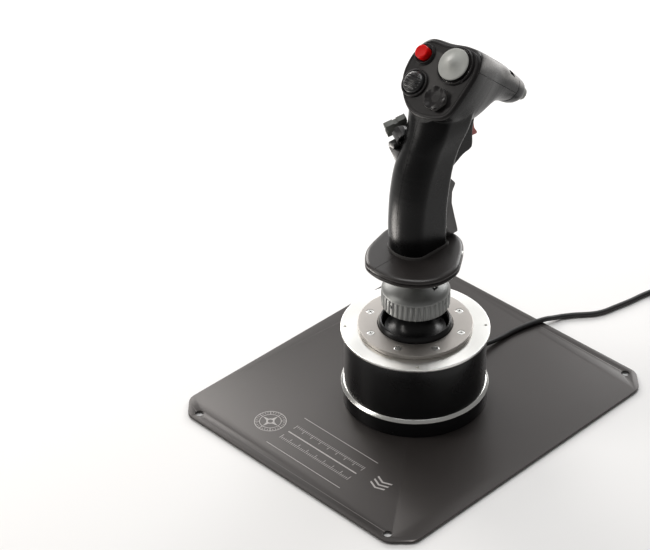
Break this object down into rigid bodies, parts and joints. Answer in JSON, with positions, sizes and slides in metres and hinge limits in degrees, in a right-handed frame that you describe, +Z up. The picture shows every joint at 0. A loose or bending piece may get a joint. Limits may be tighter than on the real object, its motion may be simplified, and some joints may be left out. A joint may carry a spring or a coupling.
{
  "type": "flight joystick",
  "caption": "Desktop flight joystick: flat metal plate, round gimbal base, threaded collar and a pilot's grip with hats, buttons, trigger, paddle lever and USB cord.",
  "frame": {"origin": "on the desk, under the axis of the round base, at the middle of the plate", "axes": "+Z up, +X to the pilot's right, +Y away from the pilot"},
  "size_m": [0.256, 0.4538, 0.3102],
  "materials": {
    "plate_paint": "satin",
    "black_paint": "semi-gloss",
    "polished_trim": "polished",
    "brushed_disc": "brushed",
    "satin_ring": "satin",
    "plain_steel": "machined",
    "collar_metal": "satin, knurled",
    "grip_plastic": "semi-gloss",
    "black_plastic": "satin",
    "light_grey": "satin",
    "dark_grey": "satin",
    "button_red": "gloss",
    "trigger_red": "satin",
    "paddle_paint": "satin",
    "rubber": "matte",
    "circuit_board": "satin"
  },
  "bodies": {
    "base": {"base_plate": "plate_paint", "foot_pad_1": "rubber", "foot_pad_2": "rubber", "foot_pad_3": "rubber", "foot_pad_4": "rubber", "lower_flange": "black_paint", "trim_ring": "polished_trim", "housing_shell": "black_paint", "top_disc": "brushed_disc", "gimbal_cover": "satin_ring", "cover_screw_1": "plain_steel", "cover_screw_2": "plain_steel", "cover_screw_3": "plain_steel", "cover_screw_4": "plain_steel", "cover_screw_5": "plain_steel", "cover_screw_6": "plain_steel", "cover_screw_7": "plain_steel", "cover_screw_8": "plain_steel", "socket_ring": "black_paint", "gimbal_frame": "plain_steel", "centring_spring": "plain_steel", "base_circuit_board": "circuit_board", "strain_relief": "rubber", "cord": "rubber", "cord_coil": "rubber", "usb_plug": "rubber"},
    "gimbal": {"gimbal_cross": "plain_steel"},
    "stick": {"pivot_dome": "black_paint", "grip_shaft": "plain_steel", "hand_rest": "grip_plastic", "grip_shell_right": "grip_plastic", "grip_shell_left": "grip_plastic", "head_cover": "grip_plastic", "nose_cap": "grip_plastic", "nose_bezel": "black_plastic", "face_plate": "grip_plastic", "trim_bezel": "grip_plastic", "ridged_bezel": "grip_plastic", "release_bezel": "grip_plastic", "side_housing": "grip_plastic", "trigger_pin": "plain_steel", "paddle_pin": "plain_steel", "grip_circuit_board": "circuit_board"},
    "collar": {"threaded_collar": "collar_metal"},
    "trigger": {"trigger": "trigger_red"},
    "paddle": {"paddle_lever": "paddle_paint"},
    "trim_rocker": {"trim_rocker": "plain_steel"},
    "trim_hat": {"trim_hat": "light_grey"},
    "scalloped_rocker": {"scalloped_rocker": "plain_steel"},
    "scalloped_hat": {"scalloped_hat": "grip_plastic"},
    "ridged_rocker": {"ridged_rocker": "plain_steel"},
    "ridged_hat": {"ridged_hat": "black_plastic"},
    "side_rocker": {"side_rocker": "plain_steel"},
    "side_hat": {"side_hat": "dark_grey"},
    "release_button": {"release_button": "button_red"},
    "nose_button": {"nose_button": "light_grey"},
    "mode_button": {"mode_button": "black_plastic"}
  },
  "joints": [
    {"name": "stick_pitch", "type": "hinge", "parent": "base", "child": "gimbal", "pos_m": [0, 0, 0.062], "axis": [1, 0, 0], "range_deg": [-18, 18], "stiffness_Nm_per_rad": 6},
    {"name": "stick_roll", "type": "hinge", "parent": "gimbal", "child": "stick", "pos_m": [0, 0, 0.062], "axis": [0, 1, 0], "range_deg": [-18, 18], "stiffness_Nm_per_rad": 6},
    {"name": "collar_turn", "type": "hinge", "parent": "stick", "child": "collar", "pos_m": [0, 0, 0.1], "axis": [0, 0, 1], "continuous": true},
    {"name": "trigger_pull", "type": "hinge", "parent": "stick", "child": "trigger", "pos_m": [0, 0.05, 0.2515], "axis": [-1, 0, 0], "range_deg": [0, 10], "stiffness_Nm_per_rad": 0.2},
    {"name": "paddle_squeeze", "type": "hinge", "parent": "stick", "child": "paddle", "pos_m": [0, 0.017, 0.164], "axis": [1, 0, 0], "range_deg": [0, 5], "stiffness_Nm_per_rad": 1},
    {"name": "trim_tilt_up_down", "type": "hinge", "parent": "stick", "child": "trim_rocker", "pos_m": [0.007, 0.03687, 0.29491], "axis": [1, 0, 0], "range_deg": [-5.5, 5.5], "stiffness_Nm_per_rad": 0.03},
    {"name": "trim_tilt_left_right", "type": "hinge", "parent": "trim_rocker", "child": "trim_hat", "pos_m": [0.007, 0.03687, 0.29491], "axis": [0, 0.7071, 0.7071], "range_deg": [-5.5, 5.5], "stiffness_Nm_per_rad": 0.03},
    {"name": "scalloped_tilt_up_down", "type": "hinge", "parent": "stick", "child": "scalloped_rocker", "pos_m": [0.0076, 0.01636, 0.2744], "axis": [1, 0, 0], "range_deg": [-7, 7], "stiffness_Nm_per_rad": 0.03},
    {"name": "scalloped_tilt_left_right", "type": "hinge", "parent": "scalloped_rocker", "child": "scalloped_hat", "pos_m": [0.0076, 0.01636, 0.2744], "axis": [0, 0.7071, 0.7071], "range_deg": [-7, 7], "stiffness_Nm_per_rad": 0.03},
    {"name": "ridged_tilt_up_down", "type": "hinge", "parent": "stick", "child": "ridged_rocker", "pos_m": [-0.0186, 0.01933, 0.27737], "axis": [1, 0, 0], "range_deg": [-7, 7], "stiffness_Nm_per_rad": 0.03},
    {"name": "ridged_tilt_left_right", "type": "hinge", "parent": "ridged_rocker", "child": "ridged_hat", "pos_m": [-0.0186, 0.01933, 0.27737], "axis": [0, 0.7071, 0.7071], "range_deg": [-7, 7], "stiffness_Nm_per_rad": 0.03},
    {"name": "side_tilt_up_down", "type": "hinge", "parent": "stick", "child": "side_rocker", "pos_m": [-0.0202, 0.00219, 0.24208], "axis": [-0.4334, -0.8463, -0.3097], "range_deg": [-7, 7], "stiffness_Nm_per_rad": 0.03},
    {"name": "side_tilt_left_right", "type": "hinge", "parent": "side_rocker", "child": "side_hat", "pos_m": [-0.0202, 0.00219, 0.24208], "axis": [0.1184, -0.3941, 0.9114], "range_deg": [-7, 7], "stiffness_Nm_per_rad": 0.03},
    {"name": "release_press", "type": "slide", "parent": "stick", "child": "release_button", "axis": [0, 0.7071, -0.7071], "range_m": [0, 0.002], "stiffness_N_per_m": 400},
    {"name": "nose_press", "type": "slide", "parent": "stick", "child": "nose_button", "axis": [-0.2722, -0.782, 0.5607], "range_m": [0, 0.0018], "stiffness_N_per_m": 400},
    {"name": "mode_press", "type": "slide", "parent": "stick", "child": "mode_button", "axis": [1, 0, 0], "range_m": [0, 0.0012], "stiffness_N_per_m": 400}
  ]
}
